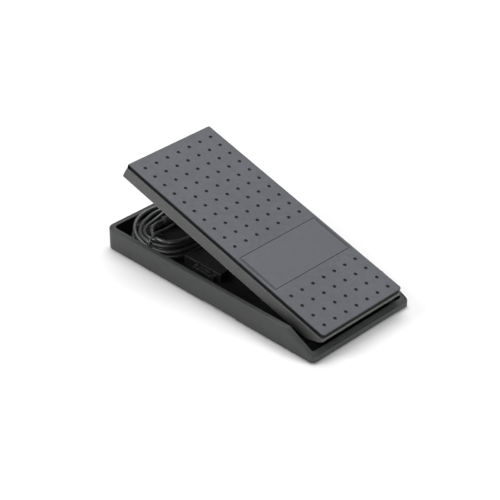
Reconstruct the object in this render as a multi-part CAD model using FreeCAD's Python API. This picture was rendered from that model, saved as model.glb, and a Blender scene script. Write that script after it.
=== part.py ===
import FreeCAD, Part
import math
import os

# Rocking foot controller for an electronic keyboard: a wedge-shaped floor tray, a ribbed-mat
# treadle that rocks on a cross shaft, a geared potentiometer, and a coiled lead with a 6.35 mm
# jack plug stowed in the toe end of the tray.
# Frame: +X to the user's right, +Y towards the toe, +Z up. Origin: centre of the footprint, on the
# floor under the rubber feet. All lengths in millimetres.

# ---------------------------------------------------------------- driving dimensions
BASE_L = 284.0            # tray length, heel to toe
BASE_W = 134.6            # tray width
FOOT_H = 1.5              # rubber feet stand the tray this far off the floor
RIM_Z = 24.0              # top of the side walls
HEEL_LIP_Z = 6.6          # top of the low heel lip
SLOPE_Y = -107.7          # where the side walls start to fall towards the heel
WALL = 5.8                # width of the rim
FLOOR_Z = 5.0             # upper face of the tray floor
PLATE_T = 1.2             # steel bottom plate
R_TOE, R_HEEL = 9.0, 4.9  # plan corner radii of the tray

PITCH = 15.88             # treadle pitch at rest, toe up, degrees
HEEL_Y, HEEL_Z = -146.61, 25.75   # origin of the treadle's own plane (top of the mat)
TR_U0, TR_U1 = 3.6, 275.2         # treadle frame, from heel to toe, along the treadle
TR_HALF = 55.5                    # treadle frame half width
MAT_U0, MAT_U1 = 4.7, 274.1       # mat, from heel to toe
MAT_HALF = 54.7                   # mat half width
MAT_T = 4.0                       # mat thickness
SKIRT_W = -18.2                   # lower edge of the treadle skirt, below the mat's top
LEDGE_W = -4.9                    # ledge outside the mat
DECK_W = -7.0                     # underside of the treadle deck
TOE_RIM_W = -1.0                     # top of the rim at the toe end
TOE_FLARE = 3.2                      # how far the toe face's lower edge stands out
SKIRT_T = 2.6

PIVOT_Y, PIVOT_Z = -52.0, 28.5    # rocking shaft
SHAFT_R = 4.0
TRAVEL = 16.0                     # rocking range, degrees, toe down from rest

GEAR_M = 1.0
SECTOR_Z, PINION_Z = 80, 16
MESH_DIR = -5.0                   # direction from shaft to pinion above the horizontal, degrees
CORD_R = 2.1
COIL_CX, COIL_CY = -14.0, 98.2    # centre of the stowed coil
COIL_A, COIL_B = 47.0, 37.5       # outer half axes of the coil
COIL_AI, COIL_BI = 28.0, 17.0     # inner half axes
COIL_TOP = 27.0

OUT = "parts"
os.makedirs("parts", exist_ok=True)
V = FreeCAD.Vector
X, Y, Z = V(1, 0, 0), V(0, 1, 0), V(0, 0, 1)


# ---------------------------------------------------------------- helpers
def save(name, shape):
    shape = shape.removeSplitter() if shape.ShapeType != "Compound" else shape
    shape.exportStep("%s/%s.step" % (OUT, name))
    print("%-24s solids %2d  volume %9.1f mm3  valid %s" % (name, len(shape.Solids), shape.Volume, shape.isValid()))


def group(shapes):
    return Part.makeCompound(list(shapes))


def box(x0, x1, y0, y1, z0, z1):
    return Part.makeBox(x1 - x0, y1 - y0, z1 - z0, V(x0, y0, z0))


def cyl(r, h, p, d=Z):
    return Part.makeCylinder(r, h, p, d)


def ring(r_out, r_in, h, p, d=Z):
    return cyl(r_out, h, p, d).cut(cyl(r_in, h + 2, p - V(d).multiply(1), d))


def rounded(x0, x1, y0, y1, z0, z1, r_heel, r_toe):
    """An upright prism with rounded plan corners, one radius at the heel end and one at the toe."""
    def arc(cx, cy, r, a):
        a0, am, a1 = (math.radians(a + t) for t in (0, 45, 90))
        return Part.Arc(*(V(cx + r * math.cos(t), cy + r * math.sin(t), z0) for t in (a0, am, a1))).toShape()
    rh, rt = r_heel, r_toe
    edges = [
        Part.makeLine(V(x0 + rh, y0, z0), V(x1 - rh, y0, z0)), arc(x1 - rh, y0 + rh, rh, 270),
        Part.makeLine(V(x1, y0 + rh, z0), V(x1, y1 - rt, z0)), arc(x1 - rt, y1 - rt, rt, 0),
        Part.makeLine(V(x1 - rt, y1, z0), V(x0 + rt, y1, z0)), arc(x0 + rt, y1 - rt, rt, 90),
        Part.makeLine(V(x0, y1 - rt, z0), V(x0, y0 + rh, z0)), arc(x0 + rh, y0 + rh, rh, 180),
    ]
    return Part.Face(Part.Wire(edges)).extrude(V(0, 0, z1 - z0))


def prism_x(points, x0, x1):
    """A prism along X from a closed outline of (y, z) points."""
    w = Part.makePolygon([V(x0, y, z) for y, z in points] + [V(x0, *points[0])])
    return Part.Face(w).extrude(V(x1 - x0, 0, 0))


def round_edges(shape, r, pick):
    """Fillets the edges for which pick(edge) is true; falls back to fewer edges if a corner can't be made."""
    edges = [e for e in shape.Edges if pick(e)]
    try:
        out = shape.makeFillet(r, edges)
        if out.isValid() and out.Volume > 0:
            return out
    except Exception:
        pass
    print("   fillet of %g mm left out on %d edges" % (r, len(edges)))
    return shape


def on_treadle(shape):
    """Places a shape drawn in the treadle's own plane: x across, y along the treadle, z up from the mat's top."""
    s = shape.copy()
    s.Placement = FreeCAD.Placement(V(0, HEEL_Y, HEEL_Z), FreeCAD.Rotation(X, PITCH)).multiply(s.Placement)
    return s


def treadle_yz(u, w):
    a = math.radians(PITCH)
    return HEEL_Y + u * math.cos(a) - w * math.sin(a), HEEL_Z + u * math.sin(a) + w * math.cos(a)


A = math.radians(PITCH)
PIVOT_U = (PIVOT_Y - HEEL_Y) * math.cos(A) + (PIVOT_Z - HEEL_Z) * math.sin(A)
PIVOT_W = -(PIVOT_Y - HEEL_Y) * math.sin(A) + (PIVOT_Z - HEEL_Z) * math.cos(A)
print("pivot in the treadle plane: u %.3f  w %.3f" % (PIVOT_U, PIVOT_W))


def pan_screw(p, d, head_r, head_h, shank_r, length, drive=0.9):
    """Pan-head screw: p is the centre of the head's bearing face, d the way the shank points."""
    back = V(d).multiply(-1)
    head = cyl(head_r, head_h, p, back)
    head = round_edges(head, head_h * 0.45, lambda e: abs((e.CenterOfMass - p).dot(back) - head_h) < 1e-6 and e.Length > head_r)
    shank = cyl(shank_r, length - shank_r, p, d)
    tip = Part.makeCone(shank_r, shank_r * 0.35, shank_r, p + V(d).multiply(length - shank_r), d)
    s = head.fuse(shank).fuse(tip)
    side = V(1, 0, 0) if abs(d.x) < 0.5 else V(0, 1, 0)
    other = d.cross(side)
    for a, b in ((side, other), (other, side)):
        slot = Part.makeBox(1, 1, 1)
        o = p + V(back).multiply(head_h - drive) - V(a).multiply(head_r * 0.55) - V(b).multiply(head_r * 0.14)
        m = FreeCAD.Matrix(a.x * head_r * 1.1, b.x * head_r * 0.28, back.x * drive * 1.5, o.x,
                           a.y * head_r * 1.1, b.y * head_r * 0.28, back.y * drive * 1.5, o.y,
                           a.z * head_r * 1.1, b.z * head_r * 0.28, back.z * drive * 1.5, o.z, 0, 0, 0, 1)
        s = s.cut(slot.transformGeometry(m))
    return s.removeSplitter()


# ---------------------------------------------------------------- tray
hw = BASE_W / 2
hl = BASE_L / 2
HEEL_END_Z = HEEL_LIP_Z
top_profile = [(-hl - 5, HEEL_END_Z - (RIM_Z - HEEL_END_Z) / (SLOPE_Y + hl) * 5), (SLOPE_Y, RIM_Z), (hl + 5, RIM_Z), (hl + 5, RIM_Z + 40), (-hl - 5, RIM_Z + 40)]
tray = rounded(-hw, hw, -hl, hl, FOOT_H, RIM_Z + 2, R_HEEL, R_TOE)
tray = tray.cut(prism_x(top_profile, -hw - 5, hw + 5))
tray = round_edges(tray, 1.3, lambda e: e.BoundBox.ZMin > HEEL_END_Z - 0.6 and (e.BoundBox.XLength > 1 or e.BoundBox.YLength > 1)
                   and e.BoundBox.ZMax <= RIM_Z + 0.01 and not (e.BoundBox.XLength > BASE_W * 0.9 and abs(e.CenterOfMass.y - SLOPE_Y) < 2))
cavity = rounded(-hw + WALL, hw - WALL, -hl + WALL, hl - WALL, FLOOR_Z, RIM_Z + 10, 2.5, 5.0)
tray = tray.cut(cavity)
# shallow bead line just inside the outer edge of the rim
bead = rounded(-hw + 1.75, hw - 1.75, -hl + 1.75, hl - 1.75, 2, RIM_Z + 5, R_HEEL - 1.75, R_TOE - 1.75).cut(
    rounded(-hw + 2.3, hw - 2.3, -hl + 2.3, hl - 2.3, 1, RIM_Z + 6, R_HEEL - 2.3, R_TOE - 2.3))
k = (RIM_Z - HEEL_END_Z) / (SLOPE_Y + hl)
layer = prism_x([(-hl - 1, HEEL_END_Z - k - 0.55), (SLOPE_Y, RIM_Z - 0.5), (hl + 1, RIM_Z - 0.5), (hl + 1, RIM_Z + 4), (-hl - 1, RIM_Z + 4)], -hw - 1, hw + 1)
tray = tray.cut(bead.common(layer))
# recess for the bottom plate and the shallow notch under the left wall
PLATE_IN = 2.6
tray = tray.cut(rounded(-hw + PLATE_IN - 0.2, hw - PLATE_IN + 0.2, -hl + PLATE_IN - 0.2, hl - PLATE_IN + 0.2, FOOT_H - 1, FOOT_H + PLATE_T, 3.0, 7.0))
tray = tray.cut(box(-hw - 1, -hw + 2.0, -42.4, 3.3, FOOT_H - 1, FOOT_H + 0.9))
BOSS = [(-54.0, -100.0), (54.0, -100.0), (-54.0, 45.0), (54.0, 45.0), (-54.0, 128.0), (54.0, 128.0)]
STAND_SCREW = [(-22.0, -58.0), (22.0, -58.0), (-22.0, -46.0), (22.0, -46.0)]
EAR_SCREW = [(-39.6, 20.0), (-39.6, 37.0), (39.6, 20.0), (39.6, 37.0)]
for x, y in BOSS:
    tray = tray.fuse(Part.makeCone(4.2, 3.6, 7.0, V(x, y, FLOOR_Z)))
    tray = tray.cut(cyl(1.5, 8.1, V(x, y, FOOT_H)))
# floor ribs beside the mechanism, and a pair of ribs that back up the heel
for x0, x1, y0, y1 in ((-61.5, -45.0, -72.0, -70.4), (45.0, 61.5, -72.0, -70.4), (-0.8, 0.8, -136.2, -80.0), (-61.5, 61.5, -122.0, -120.4)):
    tray = tray.fuse(box(x0, x1, y0, y1, FLOOR_Z, FLOOR_Z + (1.0 if y0 < -100 else 3.5)))
for x, y in STAND_SCREW:
    tray = tray.cut(cyl(1.5, 5.0, V(x, y, FOOT_H + PLATE_T + 0.6)))
for x, y in EAR_SCREW:
    tray = tray.cut(cyl(1.3, 5.0, V(x, y, FOOT_H + PLATE_T + 0.6)))
for x, y in ((15.0, -9.5), (15.0, 1.5)):
    tray = tray.cut(cyl(1.3, 5.0, V(x, y, FOOT_H + PLATE_T + 0.6)))
tray = tray.cut(cyl(1.3, 5.0, V(24.5, 47.0, FOOT_H + PLATE_T + 0.6)))
save("base_tray", tray)

plate = rounded(-hw + PLATE_IN, hw - PLATE_IN, -hl + PLATE_IN, hl - PLATE_IN, FOOT_H, FOOT_H + PLATE_T, 2.8, 6.8)
for x, y in BOSS:
    plate = plate.cut(cyl(1.7, 5, V(x, y, FOOT_H - 1)))
save("bottom_plate", plate)

base_screws = [pan_screw(V(x, y, FOOT_H), Z, 2.7, 1.2, 1.5, 8.0, 0.6) for x, y in BOSS]
save("base_screws", group(base_screws))

FEET = [(-52.0, -124.0), (52.0, -124.0), (-52.0, 106.0), (52.0, 106.0)]
feet = []
for x, y in FEET:
    f = cyl(9.0, FOOT_H, V(x, y, 0))
    f = round_edges(f, 0.5, lambda e: e.BoundBox.ZMax < 0.01 and e.Length > 5)
    feet.append(f)
save("rubber_feet", group(feet))

# ---------------------------------------------------------------- pivot stand, bolted to the floor
def ear(x0, x1, y0, y1, z0, py, pz, r):
    return box(x0, x1, y0, y1, z0, pz).fuse(cyl(r, x1 - x0, V(x0, py, pz), X))


ST_IN, ST_OUT = 28.6, 31.0
stand = box(-ST_OUT, ST_OUT, -64.0, -40.0, FLOOR_Z, FLOOR_Z + 2.0)
for s in (-1, 1):
    a, b = sorted((s * ST_IN, s * ST_OUT))
    stand = stand.fuse(ear(a, b, -64.0, -40.0, FLOOR_Z, PIVOT_Y, PIVOT_Z, 12.0))
stand = stand.cut(cyl(6.0, 80, V(-40, PIVOT_Y, PIVOT_Z), X))
for x, y in STAND_SCREW:
    stand = stand.cut(cyl(1.7, 6, V(x, y, FLOOR_Z - 1)))
save("pivot_stand", stand.removeSplitter())
save("stand_screws", group([pan_screw(V(x, y, FLOOR_Z + 2.0), V(0, 0, -1), 2.8, 1.6, 1.5, 3.6) for x, y in STAND_SCREW]))

bushes, fibre, cones = [], [], []
for s in (-1, 1):
    d = V(s, 0, 0)
    body = cyl(6.0, 3.0, V(s * 28.2, PIVOT_Y, PIVOT_Z), d).fuse(cyl(8.0, 1.0, V(s * ST_OUT, PIVOT_Y, PIVOT_Z), d))
    bushes.append(body.cut(cyl(SHAFT_R + 0.05, 8, V(s * 26, PIVOT_Y, PIVOT_Z), d)).removeSplitter())
    fibre.append(ring(7.6, SHAFT_R + 0.08, 1.2, V(s * 32.05, PIVOT_Y, PIVOT_Z), d))
    prof = [(4.3, 33.30), (7.8, 34.30), (7.8, 34.80), (4.3, 33.80)]
    w = Part.makePolygon([V(s * x, PIVOT_Y + r, PIVOT_Z) for r, x in prof + prof[:1]])
    cones.append(Part.Face(w).revolve(V(0, PIVOT_Y, PIVOT_Z), X, 360))
save("shaft_bushes", group(bushes))
save("friction_washers", group(fibre))

# ---------------------------------------------------------------- treadle
deck = rounded(-TR_HALF, TR_HALF, TR_U0, TR_U1, SKIRT_W, LEDGE_W, 3.4, 1.8)
# the toe face leans outwards below the ledge
flare = prism_x([(TR_U1 - 5.0, LEDGE_W - 1.0), (TR_U1 - 0.05, LEDGE_W - 1.0), (TR_U1 + TOE_FLARE, SKIRT_W), (TR_U1 - 5.0, SKIRT_W)], -TR_HALF, TR_HALF)
deck = deck.fuse(flare.common(rounded(-TR_HALF, TR_HALF, TR_U1 - 20.0, TR_U1 + TOE_FLARE, SKIRT_W, LEDGE_W, 2.0, 1.4))).removeSplitter()
deck = round_edges(deck, 0.7, lambda e: abs(e.CenterOfMass.z - LEDGE_W) < 1e-6)
# a thin rim stands up along the toe end, just beyond the mat
rim = rounded(-TR_HALF, TR_HALF, TR_U1 - 20.0, TR_U1, LEDGE_W - 1.0, TOE_RIM_W, 2.0, 1.8)
rim = rim.common(box(-60.0, 60.0, MAT_U1 + 0.1, TR_U1 + 1.0, LEDGE_W - 2.0, 1.0))
deck = deck.fuse(rim).removeSplitter()
# underside of the skirt sweeps up at the heel so that the heel can sink into the tray
heel_cut = prism_x([(TR_U0 - 2, SKIRT_W - 2), (26.0, SKIRT_W - 2), (22.5, SKIRT_W), (19.5, SKIRT_W + 1.1), (TR_U0 - 0.4, -8.0), (TR_U0 - 2, -8.0)], -60, 60)
deck = deck.cut(heel_cut)
deck = deck.fuse(rounded(-52.2, 52.2, 6.4, 271.2, LEDGE_W - 1, -MAT_T, 3.4, 3.4))
hollow = rounded(-TR_HALF + SKIRT_T, TR_HALF - SKIRT_T, 28.0, TR_U1 - SKIRT_T, SKIRT_W - 5, DECK_W, 2.0, 2.4)
deck = deck.cut(hollow)
heel_hollow = prism_x([(9.0, DECK_W), (30.0, DECK_W), (30.0, SKIRT_W - 3), (25.0, SKIRT_W - 3), (22.4, SKIRT_W + 3.0), (9.0, -9.4)], -TR_HALF + SKIRT_T, TR_HALF - SKIRT_T)
deck = deck.cut(heel_hollow)
# low stiffening ribs under the deck, clear of the coil and the mechanism
ribs = []
for x in (-44.0, 44.0):
    ribs.append(box(x - 0.8, x + 0.8, 32.0, 268.0, DECK_W - 3.0, DECK_W + 0.5))
for u in (60.0, 130.0, 160.0, 190.0, 220.0, 250.0):
    ribs.append(box(-TR_HALF + 1, TR_HALF - 1, u - 0.8, u + 0.8, DECK_W - 3.0, DECK_W + 0.5))
for r in ribs:
    deck = deck.fuse(r)
BR_SCREW = [(-24.0, PIVOT_U - 9.0), (24.0, PIVOT_U - 9.0), (-24.0, PIVOT_U + 9.0), (24.0, PIVOT_U + 9.0)]
for x, u in BR_SCREW:
    deck = deck.cut(cyl(1.4, 2.4, V(x, u, DECK_W - 0.01)))
save("treadle_frame", on_treadle(deck.removeSplitter()))

mat = rounded(-MAT_HALF, MAT_HALF, MAT_U0, MAT_U1, -MAT_T, 0.0, 2.6, 1.4)
mat = round_edges(mat, 0.7, lambda e: abs(e.CenterOfMass.z) < 1e-6)
save("tread_mat", on_treadle(mat))

BW = 37.0
web = box(-BW, BW, PIVOT_U - 14.0, PIVOT_U + 14.0, DECK_W - 1.6, DECK_W)
bracket = web
for s in (-1, 1):
    a, b = sorted((s * 34.9, s * BW))
    cheek = box(a, b, PIVOT_U - 9.0, PIVOT_U + 9.0, PIVOT_W, DECK_W - 0.5).fuse(cyl(9.0, b - a, V(a, PIVOT_U, PIVOT_W), X))
    bracket = bracket.fuse(cheek)
bracket = bracket.cut(cyl(SHAFT_R, 100, V(-50, PIVOT_U, PIVOT_W), X))
for x, u in BR_SCREW:
    bracket = bracket.cut(cyl(1.6, 6, V(x, u, DECK_W - 4)))
save("treadle_bracket", on_treadle(bracket.removeSplitter()))
save("bracket_screws", group([on_treadle(pan_screw(V(x, u, DECK_W - 1.6), Z, 2.7, 1.4, 1.4, 3.6)) for x, u in BR_SCREW]))

shaft = cyl(SHAFT_R, 84, V(-42, PIVOT_Y, PIVOT_Z), X)
shaft = shaft.makeChamfer(0.6, [e for e in shaft.Edges if e.BoundBox.XLength < 0.01])
for s in (-1, 1):
    shaft = shaft.cut(ring(6, 3.2, 1.1, V(s * 37.3, PIVOT_Y, PIVOT_Z), V(s, 0, 0)))
save("pivot_shaft", shaft)
clips = []
for s in (-1, 1):
    c = ring(7.0, 3.25, 0.9, V(s * 37.4, PIVOT_Y, PIVOT_Z), V(s, 0, 0))
    c = c.cut(box(-60, 60, PIVOT_Y - 2.2, PIVOT_Y + 2.2, PIVOT_Z - 12, PIVOT_Z))
    clips.append(c)
save("shaft_clips", group(clips))
save("spring_washers", group(cones))


# ---------------------------------------------------------------- sector gear and pinion
def tooth(zc, m, centre, r_tip, r_root, thin):
    """Half-outline of one involute tooth about the direction centre (radians), as (radius, angle) from root to tip and back."""
    rp = zc * m / 2
    rb = rp * math.cos(math.radians(20))
    inv = lambda r: math.tan(math.acos(min(1.0, rb / r))) - math.acos(min(1.0, rb / r))
    half = (math.pi * m / 2 - thin) / 2 / rp
    side = []
    n = 7
    for i in range(n + 1):
        r = r_root + (r_tip - r_root) * i / n
        side.append((r, half + inv(rp) - inv(max(r, rb))))
    return [(r, centre - a) for r, a in side] + [(r, centre + a) for r, a in reversed(side)]


def polar(points, cy, cz):
    return [(cy + r * math.cos(t), cz + r * math.sin(t)) for r, t in points]


RP_S, RP_P = SECTOR_Z * GEAR_M / 2, PINION_Z * GEAR_M / 2
beta = math.radians(MESH_DIR)
POT_Y = PIVOT_Y + (RP_S + RP_P) * math.cos(beta)
POT_Z = PIVOT_Z + (RP_S + RP_P) * math.sin(beta)
print("pot shaft at y %.4f z %.4f" % (POT_Y, POT_Z))
step = 2 * math.pi / SECTOR_Z
pts = []
for i in range(-1, 6):
    pts += tooth(SECTOR_Z, GEAR_M, beta + i * step, RP_S + 0.8, RP_S - 1.15, 0.14)
lo, hi = beta - 1.5 * step, beta + 5.5 * step
pts = [(RP_S - 1.15, lo)] + pts + [(RP_S - 1.15, hi)]
pts = pts + [(26.0, hi - 0.12), (8.0, hi + 0.25), (8.0, lo - 0.25), (26.0, lo + 0.12)]
sector = prism_x(polar(pts, PIVOT_Y, PIVOT_Z), -3.0, 3.0)
sector = sector.fuse(cyl(9.0, 12.0, V(-6.0, PIVOT_Y, PIVOT_Z), X)).cut(cyl(SHAFT_R, 30, V(-15, PIVOT_Y, PIVOT_Z), X))
save("sector_gear", sector.removeSplitter())

pstep = 2 * math.pi / PINION_Z
pts = []
for i in range(PINION_Z):
    pts += tooth(PINION_Z, GEAR_M, beta + math.pi + (i + 0.5) * pstep, RP_P + 0.8, RP_P - 1.15, 0.14)
pinion = prism_x(polar(pts, POT_Y, POT_Z), -4.0, 4.0)
pinion = pinion.fuse(cyl(5.2, 3.0, V(-7.0, POT_Y, POT_Z), X)).cut(cyl(3.0, 30, V(-15, POT_Y, POT_Z), X))
save("pot_pinion", pinion.removeSplitter())
pot_shaft = cyl(3.0, 15.5, V(-7.5, POT_Y, POT_Z), X)
pot_shaft = pot_shaft.cut(box(-9, -6.9, POT_Y - 0.5, POT_Y + 0.5, POT_Z - 4, POT_Z + 4))
save("pot_shaft", pot_shaft)

# ---------------------------------------------------------------- potentiometer and its bracket
pot = cyl(8.5, 9.0, V(9.6, POT_Y, POT_Z), X)
pot = round_edges(pot, 0.8, lambda e: abs(e.CenterOfMass.x - 18.6) < 1e-6 and e.Length > 10)
pot = pot.fuse(cyl(4.5, 5.0, V(4.8, POT_Y, POT_Z), X)).cut(cyl(3.06, 12, V(0, POT_Y, POT_Z), X).common(box(0, 8.6, -60, 60, 0, 60)))
pot = pot.fuse(box(11.0, 12.4, POT_Y - 7.5, POT_Y + 7.5, POT_Z - 11.2, POT_Z - 6))
for i in (-1, 0, 1):
    pot = pot.fuse(box(11.3, 12.1, POT_Y + i * 5 - 0.8, POT_Y + i * 5 + 0.8, POT_Z - 14.6, POT_Z - 11.0))
save("potentiometer", pot.removeSplitter())
hexa = [(6.6, math.radians(60 * i)) for i in range(6)]
nut = prism_x(polar(hexa, POT_Y, POT_Z), 5.7, 7.9).cut(cyl(4.5, 10, V(3, POT_Y, POT_Z), X))
save("pot_nut", nut)
br = box(8.0, 9.5, POT_Y - 10.0, POT_Y + 10.0, FLOOR_Z, POT_Z + 7.5)
br = br.fuse(box(8.0, 20.0, POT_Y - 10.0, POT_Y + 10.0, FLOOR_Z, FLOOR_Z + 1.5)).cut(cyl(4.5, 6, V(6, POT_Y, POT_Z), X))
for x, y in ((15.0, -9.5), (15.0, 1.5)):
    br = br.cut(cyl(1.5, 4, V(x, y, FLOOR_Z - 1)))
save("pot_bracket", br.removeSplitter())
save("pot_bracket_screws", group([pan_screw(V(x, y, FLOOR_Z + 1.5), V(0, 0, -1), 2.2, 1.2, 1.3, 3.1, 0.6) for x, y in ((15.0, -9.5), (15.0, 1.5))]))

# ---------------------------------------------------------------- cover over the pot and the lead's entry
T = 1.8
NOSE_Y, NOSE_Z, NOSE_X = 58.2, 15.0, 38.0
TALL_Z, TALL_X = 36.0, 26.0
outer = box(-NOSE_X, NOSE_X, 8.0, NOSE_Y, FLOOR_Z, NOSE_Z).fuse(box(-TALL_X, TALL_X, -24.0, 12.0, FLOOR_Z, TALL_Z)).removeSplitter()
outer = round_edges(outer, 1.2, lambda e: (abs(e.CenterOfMass.z - NOSE_Z) < 1e-6 or abs(e.CenterOfMass.z - TALL_Z) < 1e-6) and e.CenterOfMass.y > -23.5
                    and not (abs(e.CenterOfMass.z - NOSE_Z) < 1e-6 and e.CenterOfMass.y < 12.5 and abs(e.CenterOfMass.x) < TALL_X + 0.1))
inner = box(-NOSE_X + T, NOSE_X - T, 8.0 + T, NOSE_Y - T, FLOOR_Z - 1, NOSE_Z - T).fuse(box(-TALL_X + T, TALL_X - T, -30.0, 12.0 - T, FLOOR_Z - 1, TALL_Z - T))
cover = outer.cut(inner).cut(box(-5.0, 5.0, -30.0, -8.5, TALL_Z - T - 1, TALL_Z + 2))
for s in (-1, 1):
    a, b = sorted((s * (NOSE_X - 0.5), s * 42.2))
    cover = cover.fuse(box(a, b, 14.0, 43.0, FLOOR_Z, 11.0))
GX, GZ = 31.0, 9.4           # where the lead leaves the cover
cover = cover.cut(cyl(3.3, 10, V(GX, NOSE_Y - 5, GZ), Y))
for x, y in EAR_SCREW:
    cover = cover.cut(cyl(1.5, 20, V(x, y, FLOOR_Z - 1))).cut(cyl(2.5, 20, V(x, y, 9.0)))
save("mechanism_cover", cover.removeSplitter())
save("cover_screws", group([pan_screw(V(x, y, 9.0), V(0, 0, -1), 2.2, 1.4, 1.3, 5.6, 0.7) for x, y in EAR_SCREW]))

# ---------------------------------------------------------------- rubber stops
a0 = math.radians(PITCH)
heel_stops = []
for x in (-30.0, 30.0):
    y = -112.0
    u = (y - HEEL_Y) / math.cos(a0)
    z_under = HEEL_Z + (y - HEEL_Y) * math.tan(a0) + DECK_W / math.cos(a0)
    post = cyl(6.0, 40, V(x, y, FLOOR_Z))
    cutter = prism_x([(y - 20, z_under - 0.25 - 20 * math.tan(a0)), (y + 20, z_under - 0.25 + 20 * math.tan(a0)), (y + 20, 90), (y - 20, 90)], x - 20, x + 20)
    heel_stops.append(post.cut(cutter))
save("heel_stops", group(heel_stops))
drop = math.radians(PITCH - TRAVEL)
toe_stops = []
for x in (-14.0, 14.0):
    y = 0.0
    dz = (y - PIVOT_Y) * math.tan(drop) + (DECK_W - PIVOT_W) / math.cos(drop)
    top = PIVOT_Z + dz - 0.3
    toe_stops.append(cyl(5.0, top - TALL_Z, V(x, y, TALL_Z)))
save("toe_stops", group(toe_stops))

# ---------------------------------------------------------------- lead: gland, inner tail, clamp, wires
def revolve_y(profile, x, z):
    """A solid of revolution about a line along Y through (x, z), from (y, radius) points."""
    pts = [V(x, profile[0][0], z)] + [V(x + r, y, z) for y, r in profile] + [V(x, profile[-1][0], z), V(x, profile[0][0], z)]
    return Part.Face(Part.makePolygon(pts)).revolve(V(x, 0, z), Y, 360)


gy = NOSE_Y
gland = revolve_y([(gy - T - 1.5, 3.7), (gy - T, 3.7), (gy - T, 3.3), (gy, 3.3), (gy, 4.2), (gy + 1.2, 4.2), (gy + 1.4, 3.8), (gy + 13.5, 2.8), (gy + 14.5, 2.5)], GX, GZ)
save("strain_relief", gland)
tail = cyl(CORD_R, 20.0, V(GX, gy - T - 1.5 - 20.0, GZ), Y)
save("cord_tail", tail)
cl = ring(3.7, CORD_R + 0.05, 6.0, V(GX, 44.0, GZ), Y)
cl = cl.fuse(box(20.5, GX - 3.0, 44.0, 50.0, FLOOR_Z, FLOOR_Z + 1.2)).fuse(box(GX - 3.9, GX - 2.7, 44.0, 50.0, FLOOR_Z, GZ))
cl = cl.cut(cyl(CORD_R + 0.05, 10, V(GX, 42, GZ), Y)).cut(cyl(1.5, 5, V(24.5, 47.0, FLOOR_Z - 1)))
save("cord_clamp", cl.removeSplitter())
save("clamp_screw", pan_screw(V(24.5, 47.0, FLOOR_Z + 1.2), V(0, 0, -1), 2.2, 1.2, 1.3, 2.8, 0.6))


def rod(points, r):
    s = None
    for a, b in zip(points[:-1], points[1:]):
        d = b - a
        c = cyl(r, d.Length, a, d)
        s = c if s is None else s.fuse(c)
    for p in points[1:-1]:
        s = s.fuse(Part.makeSphere(r, p))
    return s.removeSplitter()


wires = []
for i in (-1, 0, 1):
    wires.append(rod([V(11.7, POT_Y + i * 5, POT_Z - 14.7), V(11.7 + 6, POT_Y + i * 5 + 1, 8.0 + 0.0), V(23.0 - i * 1.6, 14.0 - i * 2, 7.6), V(GX - i * 1.3, 33.0, GZ), V(GX - i * 1.3, 35.2, GZ)], 0.55))
save("lead_wires", group(wires))


def smooth_path(points):
    """Straight runs joined by tangent arcs; each arc is as large as its two runs allow."""
    edges, at, radii = [], points[0], []
    for a, p, b in zip(points[:-2], points[1:-1], points[2:]):
        u, w = p - a, b - p
        short = min(u.Length, w.Length)
        u.normalize(); w.normalize()
        turn = u.getAngle(w)
        cut = 0.45 * short
        r = cut / math.tan(turn / 2)
        radii.append(r)
        s, e = p - V(u).multiply(cut), p + V(w).multiply(cut)
        bis = V(w) - V(u)
        bis.normalize()
        mid = p + V(bis).multiply(r / math.cos(turn / 2) - r)
        edges.append(Part.LineSegment(at, s).toShape())
        edges.append(Part.Arc(s, mid, e).toShape())
        at = e
    edges.append(Part.LineSegment(at, points[-1]).toShape())
    return Part.Wire(edges), radii


def tube(points, r, name):
    path, radii = smooth_path(points)
    d = points[1] - points[0]
    d.normalize()
    section = Part.Wire([Part.makeCircle(r, points[0], d)])
    s = path.makePipeShell([section], True, True)
    length = path.Length
    print("%s: length %.1f mm, radii %s mm, volume/section*length %.4f" % (name, length, [round(q, 1) for q in radii], s.Volume / (math.pi * r * r * length)))
    return s


lead = [V(GX, gy + 14.5, GZ), V(31.5, 80.0, 9.1), V(35.0, 86.6, 8.6), V(41.6, 91.0, 8.0), V(49.5, 94.3, 7.5), V(55.9, 99.9, 7.2), V(58.4, 108.0, 7.2), V(56.3, 116.2, 7.2), V(50.3, 122.2, 7.2), V(42.0, 124.5, 7.2), V(33.8, 122.2, 7.2), V(27.8, 116.2, 7.2), V(25.8, 108.0, 7.2)]
save("cord_lead", tube(lead, CORD_R, "cord_lead"))


# ---------------------------------------------------------------- stowed coil, its tie and the plug
def oval(a, b, z0, z1, power=2.0):
    """A rounded oval prism: an ellipse, or a fuller oval if the power is above 2."""
    if power == 2.0:
        e = Part.Ellipse(V(COIL_CX, COIL_CY, z0), a, b).toShape()
    else:
        pts = []
        for i in range(24):
            t = 2 * math.pi * i / 24
            c, n = math.cos(t), math.sin(t)
            r = (abs(c / a) ** power + abs(n / b) ** power) ** (-1 / power)
            pts.append(V(COIL_CX + r * c, COIL_CY + r * n, z0))
        curve = Part.BSplineCurve()
        curve.interpolate(Points=pts, PeriodicFlag=True)
        e = curve.toShape()
    return Part.Face(Part.Wire([e])).extrude(V(0, 0, z1 - z0))


coil = oval(COIL_A, COIL_B, FLOOR_Z + 0.05, COIL_TOP, 2.5)
coil = round_edges(coil, 3.0, lambda e: abs(e.CenterOfMass.z - COIL_TOP) < 1e-3 and e.Length > 50)
coil = coil.cut(oval(COIL_AI, COIL_BI, 0, 60))
for x, y in BOSS:
    coil = coil.cut(cyl(5.5, 60.0, V(x, y, 0)))
save("cord_coil", coil)

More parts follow.
